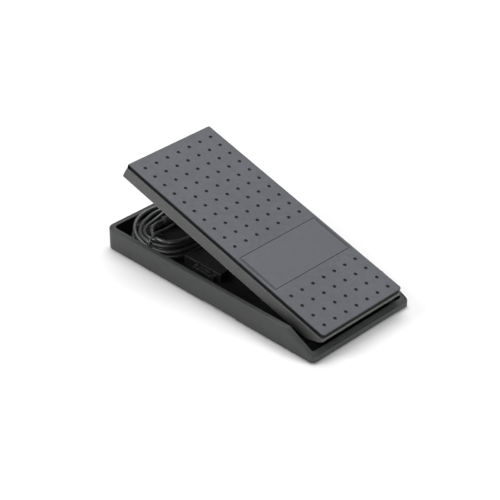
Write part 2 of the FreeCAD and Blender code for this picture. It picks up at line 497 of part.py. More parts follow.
TIE_R = 1.4
TIE_Y = 88.0
pi_ = V(-35.5, TIE_Y, 0)
po = V(-58.4, TIE_Y, 0)
d = po - pi_
span = d.Length
d.normalize()
o0, o1 = -TIE_R, span + TIE_R * 0.9
z0, z1, rr = FLOOR_Z + TIE_R + 0.1, COIL_TOP + TIE_R, 5.0
P = lambda s, z: pi_ + V(d).multiply(s) + V(0, 0, z)
q = math.sqrt(0.5)
tie_edges = [
    Part.makeLine(P(o0 + rr, z0), P(o1 - rr, z0)), Part.Arc(P(o1 - rr, z0), P(o1 - rr + rr * q, z0 + rr - rr * q), P(o1, z0 + rr)).toShape(),
    Part.makeLine(P(o1, z0 + rr), P(o1, z1 - rr)), Part.Arc(P(o1, z1 - rr), P(o1 - rr + rr * q, z1 - rr + rr * q), P(o1 - rr, z1)).toShape(),
    Part.makeLine(P(o1 - rr, z1), P(o0 + rr, z1)), Part.Arc(P(o0 + rr, z1), P(o0 + rr - rr * q, z1 - rr + rr * q), P(o0, z1 - rr)).toShape(),
    Part.makeLine(P(o0, z1 - rr), P(o0, z0 + rr)), Part.Arc(P(o0, z0 + rr), P(o0 + rr - rr * q, z0 + rr - rr * q), P(o0 + rr, z0)).toShape(),
]
sec = Part.Wire([Part.makeCircle(TIE_R, P(o0 + rr, z0), d)])
tie = Part.Wire(tie_edges).makePipeShell([sec], True, True)
save("coil_tie", tie)

# plug: axis lies across the coil; s runs from the barrel's centre towards the cord, in mm
PLUG_C = V(-2.05, 96.3, COIL_TOP + 3.3)
PLUG_D = V(-0.978, 0.208, 0)
PLUG_D.normalize()


def plug_solid(profile):
    s = revolve_y(profile, 0, 0)
    ang = math.degrees(math.atan2(-PLUG_D.x, PLUG_D.y))
    s.Placement = FreeCAD.Placement(PLUG_C, FreeCAD.Rotation(Z, ang)).multiply(s.Placement)
    return s


grip = [(-11.0, 4.6), (-10.2, 5.4)]
for i in range(7):
    y = -8.0 + i * 2.2
    grip += [(y, 5.4), (y + 0.3, 5.0), (y + 0.9, 5.0), (y + 1.2, 5.4)]
grip += [(10.2, 5.4), (11.0, 4.9)]
save("plug_barrel", plug_solid(grip))
save("plug_boot", plug_solid([(11.0, 4.7), (13.0, 4.6), (24.3, 4.2), (25.0, 3.6)]))
save("plug_sleeve", plug_solid([(-30.0, 3.175), (-13.0, 3.175), (-12.4, 4.4), (-11.0, 4.4)]))
save("plug_insulators", group([plug_solid([(-31.0, 3.0), (-30.0, 3.0)]), plug_solid([(-36.0, 3.0), (-35.0, 3.0)])]))
save("plug_ring", plug_solid([(-35.0, 3.175), (-31.0, 3.175)]))
save("plug_tip", plug_solid([(-41.5, 0.6), (-41.0, 1.5), (-38.9, 3.175), (-38.1, 3.0), (-37.2, 2.3), (-36.6, 3.1), (-36.0, 3.175)]))

TAIL = PLUG_C + V(PLUG_D).multiply(25.0)
end = [TAIL, V(-32.4, 102.76, 30.2), V(-38.7, 101.6, 29.7), V(-44.1, 98.2, 29.0), V(-48.0, 93.1, 28.2), V(-49.9, 87.1, 27.6), V(-50.0, 80.7, 27.4), V(-48.2, 74.6, 27.3), V(-44.4, 69.1, 27.2)]
save("cord_plug_end", tube(end, CORD_R, "cord_plug_end"))
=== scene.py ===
import bpy
import math
import random
from mathutils import Matrix, Vector
from mathutils.geometry import delaunay_2d_cdt


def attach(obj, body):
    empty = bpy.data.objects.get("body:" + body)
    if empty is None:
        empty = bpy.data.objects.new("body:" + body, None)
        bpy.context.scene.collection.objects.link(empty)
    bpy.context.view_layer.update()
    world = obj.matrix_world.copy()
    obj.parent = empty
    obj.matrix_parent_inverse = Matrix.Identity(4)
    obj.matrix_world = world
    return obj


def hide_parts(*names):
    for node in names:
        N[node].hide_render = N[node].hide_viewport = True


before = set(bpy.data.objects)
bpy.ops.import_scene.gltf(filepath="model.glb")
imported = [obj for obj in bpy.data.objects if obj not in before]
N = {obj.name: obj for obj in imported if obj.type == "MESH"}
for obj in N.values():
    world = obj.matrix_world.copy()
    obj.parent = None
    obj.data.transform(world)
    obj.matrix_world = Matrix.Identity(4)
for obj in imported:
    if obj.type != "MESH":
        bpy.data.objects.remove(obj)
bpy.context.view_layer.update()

MM = 0.001
scene = bpy.context.scene
coll = scene.collection


def link(obj):
    coll.objects.link(obj)
    return obj


# ------------------------------------------------------------------ camera
cam_data = bpy.data.cameras.new("camera")
cam_data.sensor_width = 36.0
cam_data.lens = 122.497
cam_data.clip_start = 0.05
cam_data.clip_end = 60.0
cam = link(bpy.data.objects.new("camera", cam_data))
R_ = Vector((0.7036272287, -0.7105692950, 0.0))
U_ = Vector((0.3850667639, 0.3813089815, 0.8404326553))
B_ = Vector((-0.5971869979, -0.5913499282, 0.5419160008))
cam.matrix_world = Matrix(((R_.x, U_.x, B_.x, -0.99043861568), (R_.y, U_.y, B_.y, -0.97540768062), (R_.z, U_.z, B_.z, 0.92619169), (0, 0, 0, 1)))
scene.camera = cam

# ------------------------------------------------------------------ the lead: out of its gland, coiled, and back to its plug
LEAD = [(31.0, 72.7, 9.4), (31.5, 80.0, 9.1), (35.0, 86.6, 8.6), (41.6, 91.0, 8.0), (49.5, 94.3, 7.5), (55.9, 99.9, 7.2), (58.4, 108.0, 7.2), (56.3, 116.2, 7.2), (50.3, 122.2, 7.2), (42.0, 124.5, 7.2), (33.8, 122.2, 7.2), (27.8, 116.2, 7.2), (25.8, 108.0, 7.2)]
PLUG_END = [(-26.503, 101.501, 30.3), (-32.4, 102.76, 30.2), (-38.7, 101.6, 29.7), (-44.1, 98.2, 29.0), (-48.0, 93.1, 28.2), (-49.9, 87.1, 27.6), (-50.0, 80.7, 27.4), (-48.2, 74.6, 27.3), (-44.4, 69.1, 27.2)]
CX, CY = -14.0, 98.2
CORD_D = 0.0042


def outline(phi):
    """The radius of the outermost strand's middle at angle phi, in mm."""
    c, s = abs(math.cos(phi)), abs(math.sin(phi))
    return ((c / 44.5) ** 2.25 + (s / 35.0) ** 2.25) ** (-1 / 2.25)


# (turns from the angle 24 degrees, clockwise from above; how far inside the outline; height)
COIL = [
    (0.075, 3.0, 7.2), (0.15, 2.2, 7.2), (0.317, 0.8, 7.2), (0.42, 0.6, 7.2), (0.533, 1.6, 7.2), (0.70, 3.0, 7.2), (0.817, 4.4, 7.2), (0.93, 6.8, 7.2),
    (1.03, 8.6, 7.2), (1.15, 7.9, 7.2), (1.317, 6.3, 7.2), (1.45, 6.4, 7.2), (1.533, 7.0, 7.2), (1.70, 8.6, 7.2), (1.817, 10.0, 7.2),
    (2.0, 13.3, 7.2), (2.15, 13.2, 7.3), (2.317, 12.0, 7.8), (2.45, 12.3, 9.3), (2.60, 13.2, 11.3), (2.72, 13.6, 12.0), (2.85, 13.8, 12.0),
    (3.0, 12.6, 12.0), (3.317, 10.7, 12.0), (3.533, 9.6, 12.0), (3.70, 9.4, 12.1), (3.85, 8.6, 12.0), (4.0, 7.3, 11.9), (4.317, 5.3, 11.9), (4.45, 4.4, 12.0), (4.533, 4.6, 12.1),
    (4.70, 4.0, 12.1), (4.85, 3.4, 12.0), (5.0, 2.2, 11.9), (5.18, 0.9, 11.9), (5.317, -1.4, 11.9), (5.376, -3.0, 11.9), (5.422, -3.9, 11.9), (5.459, -2.6, 12.0), (5.513, -0.4, 12.8), (5.572, 0.3, 13.6),
    (5.70, 0.8, 16.0), (5.817, 1.4, 17.3), (5.92, 2.0, 17.5), (6.0, 2.0, 17.4), (6.18, 0.8, 17.4), (6.317, -0.5, 17.3), (6.376, -2.3, 17.3), (6.422, -3.9, 17.3), (6.459, -3.7, 17.6), (6.513, -1.6, 18.8), (6.543, -0.2, 20.0), (6.572, 0.6, 20.8),
    (6.604, 2.0, 21.8), (6.669, 2.1, 23.6), (6.711, 1.1, 24.4), (6.744, 0.3, 25.0), (6.782, 0.1, 25.2), (6.834, 0.5, 25.0), (6.91, 1.2, 24.4), (7.0, 2.0, 23.4), (7.15, 2.4, 22.4), (7.317, 1.8, 22.0),
    (7.409, 1.4, 22.0), (7.439, 0.7, 22.1), (7.472, 0.0, 22.3), (7.512, 0.6, 23.0), (7.5475, 2.4, 23.8), (7.586, 4.6, 23.4), (7.649, 8.2, 22.7), (7.694, 8.1, 22.5), (7.744, 7.6, 22.5), (7.801, 5.4, 22.5), (7.85, 4.9, 22.5), (7.92, 5.6, 22.5),
    (8.0, 6.6, 22.4), (8.15, 7.6, 22.0), (8.317, 7.3, 21.8), (8.44, 8.6, 21.9), (8.54, 9.2, 22.8), (8.611, 10.6, 22.2), (8.686, 13.9, 21.2), (8.758, 13.8, 21.0), (8.853, 11.2, 21.8), (8.93, 10.4, 24.4),
    (9.0, 8.2, 26.8), (9.07, 5.2, 27.4), (9.15, 2.6, 27.4), (9.25, 0.9, 27.3), (9.317, 0.3, 27.2), (9.365, -0.2, 27.2), (9.402, -0.8, 27.2),
]


def along(k):
    """Inset and height of the winding at k turns, through COIL's rows without overshoot."""
    rows = COIL
    i = 0
    while i < len(rows) - 2 and rows[i + 1][0] < k:
        i += 1
    a, b = rows[i], rows[i + 1]
    h = b[0] - a[0]
    t = min(1.0, max(0.0, (k - a[0]) / h))
    out = []
    for j in (1, 2):
        def slope(n):
            if n <= 0 or n >= len(rows) - 1:
                return 0.0
            l = (rows[n][j] - rows[n - 1][j]) / (rows[n][0] - rows[n - 1][0])
            r = (rows[n + 1][j] - rows[n][j]) / (rows[n + 1][0] - rows[n][0])
            return 0.0 if l * r <= 0 else 2 * l * r / (l + r)
        m0, m1 = slope(i) * h, slope(i + 1) * h
        out.append((2 * t ** 3 - 3 * t * t + 1) * a[j] + (t ** 3 - 2 * t * t + t) * m0 + (3 * t * t - 2 * t ** 3) * b[j] + (t ** 3 - t * t) * m1)
    return out


def coil_points():
    pts = []
    per = 20
    k0, k1 = COIL[0][0], COIL[-1][0]
    n = int(round((k1 - k0) * per))
    for i in range(n + 1):
        k = k0 + (k1 - k0) * i / n
        phi = math.radians(24.0 - 360.0 * k)
        d, z = along(k)
        r = (outline(phi) - d) / 0.9877
        pts.append((CX + r * math.cos(phi), CY + r * math.sin(phi), z))
    return pts


def nurbs(name, points, half, caps=True, res=6):
    data = bpy.data.curves.new(name, "CURVE")
    data.dimensions = "3D"
    data.bevel_depth = 1.0  # times each point's radius, so that the curve's own box is no bigger than the lead
    data.bevel_resolution = 6
    data.resolution_u = res
    data.use_fill_caps = caps
    sp = data.splines.new("NURBS")
    sp.points.add(len(points) - 1)
    for p, q in zip(sp.points, points):
        p.co = (q[0] * MM, q[1] * MM, q[2] * MM, 1.0)
        p.radius = half
    sp.order_u = 3
    sp.use_endpoint_u = True
    return link(bpy.data.objects.new(name, data))


route = LEAD + coil_points() + PLUG_END[::-1]
cord = nurbs("signal_lead", route, CORD_D / 2)


def curve_line(obj):
    """The points that a curve object's own line runs through, in metres."""
    d = obj.data.bevel_depth
    obj.data.bevel_depth = 0.0
    bpy.context.view_layer.update()
    deps = bpy.context.evaluated_depsgraph_get()
    me = bpy.data.meshes.new_from_object(obj.evaluated_get(deps))
    pts = [v.co.copy() for v in me.vertices]
    bpy.data.meshes.remove(me)
    obj.data.bevel_depth = d
    bpy.context.view_layer.update()
    return pts


line = curve_line(cord)
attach(cord, "base")
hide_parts("cord_lead", "cord_coil", "cord_plug_end")


# ------------------------------------------------------------------ material kit
def new_mat(name):
    m = bpy.data.materials.new(name)
    m.use_nodes = True
    nt = m.node_tree
    return m, nt, nt.nodes["Principled BSDF"]


def coords(nt, scale=(1, 1, 1)):
    tc = nt.nodes.new("ShaderNodeTexCoord")
    if scale == (1, 1, 1):
        return tc.outputs["Object"]
    mp = nt.nodes.new("ShaderNodeMapping")
    mp.inputs["Scale"].default_value = scale
    nt.links.new(tc.outputs["Object"], mp.inputs["Vector"])
    return mp.outputs["Vector"]


def noise(nt, vec, scale, detail=3.0, rough=0.55):
    n = nt.nodes.new("ShaderNodeTexNoise")
    n.inputs["Scale"].default_value = scale
    n.inputs["Detail"].default_value = detail
    n.inputs["Roughness"].default_value = rough
    nt.links.new(vec, n.inputs["Vector"])
    return n.outputs["Fac"]


def remap(nt, val, a, b, lo, hi):
    r = nt.nodes.new("ShaderNodeMapRange")
    r.inputs["From Min"].default_value = a
    r.inputs["From Max"].default_value = b
    r.inputs["To Min"].default_value = lo
    r.inputs["To Max"].default_value = hi
    nt.links.new(val, r.inputs["Value"])
    return r.outputs["Result"]


def mix(nt, fac, a, b):
    m = nt.nodes.new("ShaderNodeMix")
    m.data_type = "RGBA"
    nt.links.new(fac, m.inputs["Factor"])
    for sock, v in ((m.inputs["A"], a), (m.inputs["B"], b)):
        if isinstance(v, tuple):
            sock.default_value = (*v, 1.0)
        else:
            nt.links.new(v, sock)
    return m.outputs["Result"]


def math_node(nt, op, a, b=None):
    m = nt.nodes.new("ShaderNodeMath")
    m.operation = op
    m.use_clamp = False
    nt.links.new(a, m.inputs[0])
    if b is not None:
        if isinstance(b, (int, float)):
            m.inputs[1].default_value = b
        else:
            nt.links.new(b, m.inputs[1])
    return m.outputs[0]


def edge_mask(nt, radius, amount):
    """1 along convex and concave edges, 0 on flat faces: how far the bevelled normal leans from the true one."""
    bev = nt.nodes.new("ShaderNodeBevel")
    bev.samples = 4
    bev.inputs["Radius"].default_value = radius
    geo = nt.nodes.new("ShaderNodeNewGeometry")
    dot = nt.nodes.new("ShaderNodeVectorMath")
    dot.operation = "DOT_PRODUCT"
    nt.links.new(bev.outputs["Normal"], dot.inputs[0])
    nt.links.new(geo.outputs["Normal"], dot.inputs[1])
    return remap(nt, dot.outputs["Value"], 0.995, 0.82, 0.0, amount), bev.outputs["Normal"]


def surface(name, dark, light, rough=(0.45, 0.6), grain=(2600.0, 0.00006), blot=28.0, spec=0.5, metal=0.0, edge=0.0, edge_r=0.0005, edge_highlight_col=None, coat=0.0, stretch=(1, 1, 1), fleck=0.0, scuff=0.0, shade=0.0, inside=None):
    m, nt, bs = new_mat(name)
    vec = coords(nt, stretch)
    a = noise(nt, vec, blot, 4.0, 0.6)
    b = noise(nt, vec, blot * 9.0, 2.0, 0.5)
    s = math_node(nt, "ADD", math_node(nt, "MULTIPLY", a, 0.65), math_node(nt, "MULTIPLY", b, 0.35))
    col = mix(nt, remap(nt, s, 0.36, 0.64, 0.0, 1.0), dark, light)
    g = noise(nt, vec, grain[0], 2.0, 0.6)
    if fleck:
        f = remap(nt, g, 0.56, 0.72, 0.0, fleck)
        col = mix(nt, f, col, tuple(min(1.0, c * 1.9) for c in light))
    rr = remap(nt, math_node(nt, "ADD", math_node(nt, "MULTIPLY", a, 0.5), math_node(nt, "MULTIPLY", g, 0.5)), 0.38, 0.62, rough[0], rough[1])
    if scuff:
        sc = noise(nt, coords(nt, (1.0, 7.0, 1.0)), 60.0, 5.0, 0.7)
        f = remap(nt, sc, 0.60, 0.74, 0.0, scuff)
        col = mix(nt, f, col, tuple(min(1.0, c * 1.7) for c in light))
    bump = nt.nodes.new("ShaderNodeBump")
    bump.inputs["Strength"].default_value = 1.0
    bump.inputs["Distance"].default_value = grain[1]
    nt.links.new(g, bump.inputs["Height"])
    # painted highlight: along edges the colour is mixed toward a lighter one
    if edge:
        f, nrm = edge_mask(nt, edge_r, edge)
        col = mix(nt, f, col, edge_highlight_col or tuple(min(1.0, c * 2.2) for c in light))
        nt.links.new(nrm, bump.inputs["Normal"])
    if shade:
        ao = nt.nodes.new("ShaderNodeAmbientOcclusion")
        ao.samples = 8
        ao.inputs["Distance"].default_value = shade
        nt.links.new(col, ao.inputs["Color"])
        col = mix(nt, remap(nt, ao.outputs["AO"], 0.10, 0.75, 0.0, 1.0), tuple(c * 0.16 for c in dark), ao.inputs["Color"].links[0].from_socket)
    # painted shade: inside the given box the colour is darkened, roughness raised and specular lowered
    if inside:
        xyz = nt.nodes.new("ShaderNodeSeparateXYZ")
        nt.links.new(coords(nt), xyz.inputs["Vector"])
        f = math_node(nt, "LESS_THAN", math_node(nt, "ABSOLUTE", xyz.outputs["X"]), inside[0])
        for axis, op, v in (("Y", "GREATER_THAN", inside[1]), ("Y", "LESS_THAN", inside[2]), ("Z", "GREATER_THAN", inside[3]), ("Z", "LESS_THAN", inside[4])):
            f = math_node(nt, "MULTIPLY", f, math_node(nt, op, xyz.outputs[axis], v))
        col = mix(nt, f, col, mix(nt, s, tuple(c * 0.2 for c in dark), tuple(c * 0.34 for c in light)))
        rr = math_node(nt, "ADD", rr, math_node(nt, "MULTIPLY", f, 0.3))
    nt.links.new(col, bs.inputs["Base Color"])
    nt.links.new(rr, bs.inputs["Roughness"])
    nt.links.new(bump.outputs["Normal"], bs.inputs["Normal"])
    bs.inputs["Specular IOR Level"].default_value = spec
    if inside:
        nt.links.new(remap(nt, f, 0.0, 1.0, spec, spec * 0.12), bs.inputs["Specular IOR Level"])
    bs.inputs["Metallic"].default_value = metal
    if coat:
        bs.inputs["Coat Weight"].default_value = coat
        bs.inputs["Coat Roughness"].default_value = 0.25
    return m


# ------------------------------------------------------------------ materials
# the inside box darkens the tray's interior: painted shade
M_TRAY = surface("tray_plastic", (0.036, 0.038, 0.037), (0.048, 0.051, 0.049), rough=(0.42, 0.56), grain=(2300.0, 0.00005), blot=16.0, spec=0.45, edge=0.5, edge_r=0.0007, scuff=0.10, inside=(0.0618, -0.1355, 0.1368, 0.0044, 0.0232))
# the treadle's edges, the heel lip among them, carry the strongest painted highlight
M_TREADLE = surface("treadle_plastic", (0.062, 0.065, 0.063), (0.082, 0.085, 0.081), rough=(0.42, 0.56), grain=(2300.0, 0.00005), blot=18.0, spec=0.5, edge=0.9, edge_r=0.0009, edge_highlight_col=(0.50, 0.52, 0.50), scuff=0.10, shade=0.035)
M_MAT = surface("mat_rubber", (0.080, 0.084, 0.094), (0.106, 0.111, 0.124), rough=(0.62, 0.82), grain=(1500.0, 0.00012), blot=22.0, spec=0.35, fleck=0.22)
M_PANEL = surface("mat_panel", (0.083, 0.087, 0.099), (0.093, 0.098, 0.111), rough=(0.58, 0.7), grain=(2600.0, 0.00003), blot=14.0, spec=0.4, scuff=0.08)
# darker copy of the mat rubber: painted shade in the pits, grooves and slits and on the mat's sides
M_PAINTED_SHADE_RUBBER = surface("mat_pit", (0.016, 0.017, 0.019), (0.028, 0.029, 0.032), rough=(0.7, 0.9), grain=(2500.0, 0.00005), blot=60.0, spec=0.25)
M_CORD = surface("cord_pvc", (0.030, 0.033, 0.031), (0.046, 0.050, 0.047), rough=(0.25, 0.34), grain=(1400.0, 0.00002), blot=30.0, spec=1.0, coat=0.2)
M_TIE = surface("tie_vinyl", (0.040, 0.044, 0.041), (0.062, 0.068, 0.063), rough=(0.32, 0.45), grain=(1800.0, 0.00004), blot=40.0, spec=0.6)
M_STEEL = surface("painted_steel", (0.018, 0.019, 0.019), (0.028, 0.029, 0.029), rough=(0.42, 0.58), grain=(1200.0, 0.00008), blot=20.0, spec=0.5, edge=0.5, edge_r=0.0004, edge_highlight_col=(0.20, 0.20, 0.20))
M_ZINC = surface("zinc_steel", (0.42, 0.43, 0.44), (0.56, 0.57, 0.57), rough=(0.28, 0.46), grain=(900.0, 0.00003), blot=45.0, metal=1.0, edge=0.3, edge_r=0.0003, edge_highlight_col=(0.75, 0.75, 0.75))
M_BRIGHT = surface("bright_steel", (0.50, 0.51, 0.52), (0.62, 0.62, 0.63), rough=(0.18, 0.32), grain=(700.0, 0.00002), blot=60.0, metal=1.0, stretch=(0.15, 1, 1))
M_BLACKSCREW = surface("black_screws", (0.045, 0.045, 0.048), (0.085, 0.085, 0.090), rough=(0.3, 0.45), grain=(1500.0, 0.00003), blot=90.0, metal=0.7, edge=0.6, edge_r=0.0002, edge_highlight_col=(0.35, 0.35, 0.36))
M_FOOT = surface("foot_rubber", (0.016, 0.016, 0.017), (0.030, 0.030, 0.031), rough=(0.7, 0.88), grain=(1700.0, 0.0001), blot=40.0, spec=0.3)
M_STOP = surface("stop_rubber", (0.018, 0.018, 0.018), (0.034, 0.033, 0.032), rough=(0.68, 0.85), grain=(1900.0, 0.00008), blot=60.0, spec=0.3)
M_SPRING = surface("spring_steel", (0.24, 0.23, 0.22), (0.36, 0.35, 0.34), rough=(0.26, 0.4), grain=(900.0, 0.00002), blot=80.0, metal=1.0)
M_NYLON = surface("nylon", (0.52, 0.51, 0.47), (0.66, 0.65, 0.60), rough=(0.38, 0.5), grain=(1600.0, 0.00004), blot=70.0, spec=0.5)
M_CLAMP = surface("clamp_nylon", (0.50, 0.49, 0.45), (0.64, 0.63, 0.58), rough=(0.4, 0.55), grain=(1600.0, 0.00004), blot=70.0, spec=0.5)
M_FIBRE = surface("fibre", (0.20, 0.09, 0.05), (0.30, 0.15, 0.08), rough=(0.7, 0.85), grain=(2400.0, 0.00008), blot=120.0, spec=0.3)
M_GEAR = surface("gear_acetal", (0.50, 0.49, 0.45), (0.62, 0.61, 0.57), rough=(0.35, 0.48), grain=(1500.0, 0.00004), blot=50.0, spec=0.5, edge=0.2, edge_r=0.0002)
M_GEARD = surface("gear_acetal_dark", (0.040, 0.040, 0.042), (0.070, 0.070, 0.072), rough=(0.32, 0.45), grain=(1500.0, 0.00004), blot=60.0, spec=0.5)
M_BRASS = surface("brass", (0.50, 0.36, 0.14), (0.66, 0.50, 0.22), rough=(0.24, 0.4), grain=(900.0, 0.00002), blot=70.0, metal=1.0)
M_POT = surface("pot_body", (0.30, 0.31, 0.32), (0.44, 0.45, 0.46), rough=(0.3, 0.48), grain=(900.0, 0.00003), blot=50.0, metal=0.9)
M_COVER = surface("cover_plastic", (0.008, 0.009, 0.0085), (0.014, 0.015, 0.0145), rough=(0.45, 0.6), grain=(2200.0, 0.00006), blot=20.0, spec=0.35, edge=0.55, edge_r=0.0008, edge_highlight_col=(0.20, 0.21, 0.20))
M_WIRE = surface("wire_pvc", (0.40, 0.035, 0.025), (0.55, 0.06, 0.04), rough=(0.35, 0.5), grain=(1400.0, 0.00003), blot=60.0, spec=0.5)
M_PLUG = surface("plug_plastic", (0.030, 0.033, 0.031), (0.052, 0.056, 0.053), rough=(0.36, 0.5), grain=(1800.0, 0.00004), blot=40.0, spec=0.5, edge=0.3, edge_r=0.0003)
M_INSUL = surface("insulator", (0.012, 0.012, 0.013), (0.024, 0.024, 0.025), rough=(0.3, 0.45), grain=(1800.0, 0.00003), blot=90.0)
M_NICKEL = surface("nickel", (0.62, 0.60, 0.56), (0.76, 0.74, 0.70), rough=(0.12, 0.24), grain=(600.0, 0.00001), blot=80.0, metal=1.0)

PAINT = {
    "base_tray": M_TRAY, "treadle_frame": M_TREADLE, "bottom_plate": M_STEEL, "base_screws": M_BLACKSCREW, "rubber_feet": M_FOOT,
    "pivot_stand": M_ZINC, "stand_screws": M_ZINC, "shaft_bushes": M_NYLON, "friction_washers": M_FIBRE, "potentiometer": M_POT,
    "pot_nut": M_BRASS, "pot_bracket": M_ZINC, "pot_bracket_screws": M_ZINC, "mechanism_cover": M_COVER, "cover_screws": M_BLACKSCREW,
    "heel_stops": M_STOP, "toe_stops": M_STOP, "strain_relief": M_CORD, "cord_tail": M_CORD, "cord_clamp": M_CLAMP,
    "clamp_screw": M_ZINC, "lead_wires": M_WIRE, "plug_barrel": M_PLUG, "plug_boot": M_PLUG, "plug_sleeve": M_NICKEL,
    "plug_insulators": M_INSUL, "plug_ring": M_NICKEL, "plug_tip": M_NICKEL, "treadle_bracket": M_ZINC, "bracket_screws": M_ZINC,
    "pivot_shaft": M_BRIGHT, "shaft_clips": M_SPRING, "spring_washers": M_SPRING, "sector_gear": M_GEAR, "pot_pinion": M_GEARD, "pot_shaft": M_BRASS,
}
for name, m in PAINT.items():
    o = N[name]
    if not o.material_slots:
        o.data.materials.append(m)
    for s in o.material_slots:
        s.material = m
cord.data.materials.append(M_CORD)

# ------------------------------------------------------------------ the treadle's plane
PITCH = math.radians(15.88)
HEEL_Y, HEEL_Z = -146.61, 25.75
CA, SA = math.cos(PITCH), math.sin(PITCH)


def on_treadle(x, u, w):
    return Vector((x, HEEL_Y + u * CA - w * SA, HEEL_Z + u * SA + w * CA)) * MM


def mesh_obj(name, verts, faces, mats=(), face_mats=None, smooth=True):
    me = bpy.data.meshes.new(name)
    me.from_pydata([tuple(v) for v in verts], [], faces)
    me.validate()
    me.update()
    for m in mats:
        me.materials.append(m)
    if face_mats:
        me.polygons.foreach_set("material_index", face_mats)
    if smooth:
        me.polygons.foreach_set("use_smooth", [True] * len(me.polygons))
    return link(bpy.data.objects.new(name, me))


def rounded_rect(x0, x1, y0, y1, r, n=8, low=None):
    """A rectangle's outline with its corners rounded by r, or by low at the two corners with the smaller y."""
    q = r if low is None else low
    pts = []
    for cx, cy, a0, r in ((x1 - r, y1 - r, 0, r), (x0 + r, y1 - r, 90, r), (x0 + q, y0 + q, 180, q), (x1 - q, y0 + q, 270, q)):
        for i in range(n + 1):
            a = math.radians(a0 + 90.0 * i / n)
            pts.append((cx + r * math.cos(a), cy + r * math.sin(a)))
    return pts


# ------------------------------------------------------------------ the mat: rounded edge, rows of round pits, and a plain panel in a fine groove
def build_mat():
    HALF, U0, U1, T, FIL, RC, RH = 54.7, 4.7, 274.1, 4.0, 0.7, 1.45, 2.6
    V, F, MI = [], [], []

    def add(p, w):
        V.append(on_treadle(p[0], p[1], w))
        return len(V) - 1

    def loop(points, w):
        return [add(p, w) for p in points]

    def bridge(a, b, mat=0):
        n = len(a)
        for i in range(n):
            j = (i + 1) % n
            F.append((a[i], a[j], b[j], b[i]))
            MI.append(mat)

    def ring(off):
        return rounded_rect(-HALF + off, HALF - off, U0 + off, U1 - off, RC - off, low=RH - off)

    outer = [loop(ring(1.3), -T), loop(ring(1.3), -2.2), loop(ring(0.9), -1.9), loop(ring(0.0), -1.6), loop(ring(0.0), -FIL)]
    for i in range(1, 7):
        a = math.radians(90.0 * i / 6)
        outer.append(loop(ring(FIL * (1 - math.cos(a))), -FIL * (1 - math.sin(a))))
    # the mat's sides below the fillet and its underside take material 2, the painted shade rubber
    for i, (a, b) in enumerate(zip(outer, outer[1:])):
        bridge(a, b, 2 if i < 5 else 0)
    F.append(tuple(outer[0][::-1]))
    MI.append(2)
    guard_pts = ring(FIL + 0.35)
    guard = loop(guard_pts, 0.0)
    bridge(outer[-1], guard)

    centres = [((i - 3) * 14.71, 261.24 - 14.20 * k) for k in range(10) for i in range(7)]
    centres += [((i - 3) * 14.71, 56.98 - 14.43 * k) for k in range(4) for i in range(7)]
    n = 20
    flat_in = [list(guard_pts)]
    ids = [list(guard)]
    kinds = ["outer"]
    for c in centres:
        cp = [(c[0] + 2.2 * math.cos(2 * math.pi * i / n), c[1] + 2.2 * math.sin(2 * math.pi * i / n)) for i in range(n)]
        l0 = loop(cp, 0.0)
        prev = l0
        # each pit's walls and floor take material 2, painted shade
        for r, w, mt in ((2.0, 0.02, 0), (1.86, -0.03, 0), (1.72, -0.25, 2), (1.5, -1.1, 2), (0.8, -1.25, 2)):
            l1 = loop([(c[0] + r * math.cos(2 * math.pi * i / n), c[1] + r * math.sin(2 * math.pi * i / n)) for i in range(n)], w)
            bridge(prev, l1, mt)
            prev = l1
        F.append(tuple(prev))
        MI.append(2)
        flat_in.append(cp)
        ids.append(l0)
        kinds.append("pit")
    # groove round the plain panel
    P0, P1, PX = 71.0, 119.6, 51.5
    g = [rounded_rect(-PX - o, PX + o, P0 - o, P1 + o, 1.3 + o, 4) for o in (0.55, 0.30, 0.06, -0.06, -0.30, -0.55)]
    ws = (0.0, 0.0, -0.5, -0.5, 0.0, 0.0)
    gl = [loop(p, w) for p, w in zip(g, ws)]
    # the groove's walls and floor take material 2, painted shade
    for j, (a, b) in enumerate(zip(gl, gl[1:])):
        bridge(a, b, 2 if j in (1, 2, 3) else (0 if j == 0 else 1))
    flat_in += [g[0], g[-1]]
    ids += [gl[0], gl[-1]]
    kinds += ["groove", "panel"]
    # short second groove just inside each side of the panel
    for sx in (-1, 1):
        q = [rounded_rect(min(sx * 49.6, sx * 50.3) - o, max(sx * 49.6, sx * 50.3) + o, 73.2 - o, 117.4 + o, 0.3 + o, 3) for o in (0.2, 0.0, -0.22)]
        ql = [loop(p, w) for p, w in zip(q, (0.0, 0.0, -0.3))]
        bridge(ql[0], ql[1], 1)
        # the slit's wall and floor take material 2, painted shade
        bridge(ql[1], ql[2], 2)
        F.append(tuple(ql[2]))
        MI.append(2)
        flat_in.append(q[0])
        ids.append(ql[0])
        kinds.append("slit")
    co, faces, flat_ids = [], [], []
    for pts, idl in zip(flat_in, ids):
        base = len(co)
        co += [Vector(p) for p in pts]
        flat_ids += idl
        faces.append(list(range(base, base + len(pts))))
    rv, re_, rf, ov, oe, of_ = delaunay_2d_cdt(co, [], faces, 1, 1e-5)
    back = []
    for k, src in enumerate(ov):
        if src:
            back.append(flat_ids[src[0]])
        else:
            back.append(add((rv[k].x, rv[k].y), 0.0))
    for f, src in zip(rf, of_):
        kind = [kinds[s] for s in src]
        if "pit" in kind or "slit" in kind:
            continue
        if "groove" in kind and "panel" not in kind:
            continue
        F.append(tuple(back[i] for i in f))
        MI.append(1 if "panel" in kind else 0)
    o = mesh_obj("pitted_mat", V, F, (M_MAT, M_PANEL, M_PAINTED_SHADE_RUBBER), MI)
    import bmesh
    bm = bmesh.new()
    bm.from_mesh(o.data)
    bmesh.ops.recalc_face_normals(bm, faces=bm.faces)
    bm.to_mesh(o.data)
    bm.free()
    return o


mat_obj = build_mat()
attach(mat_obj, "treadle")
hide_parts("tread_mat")


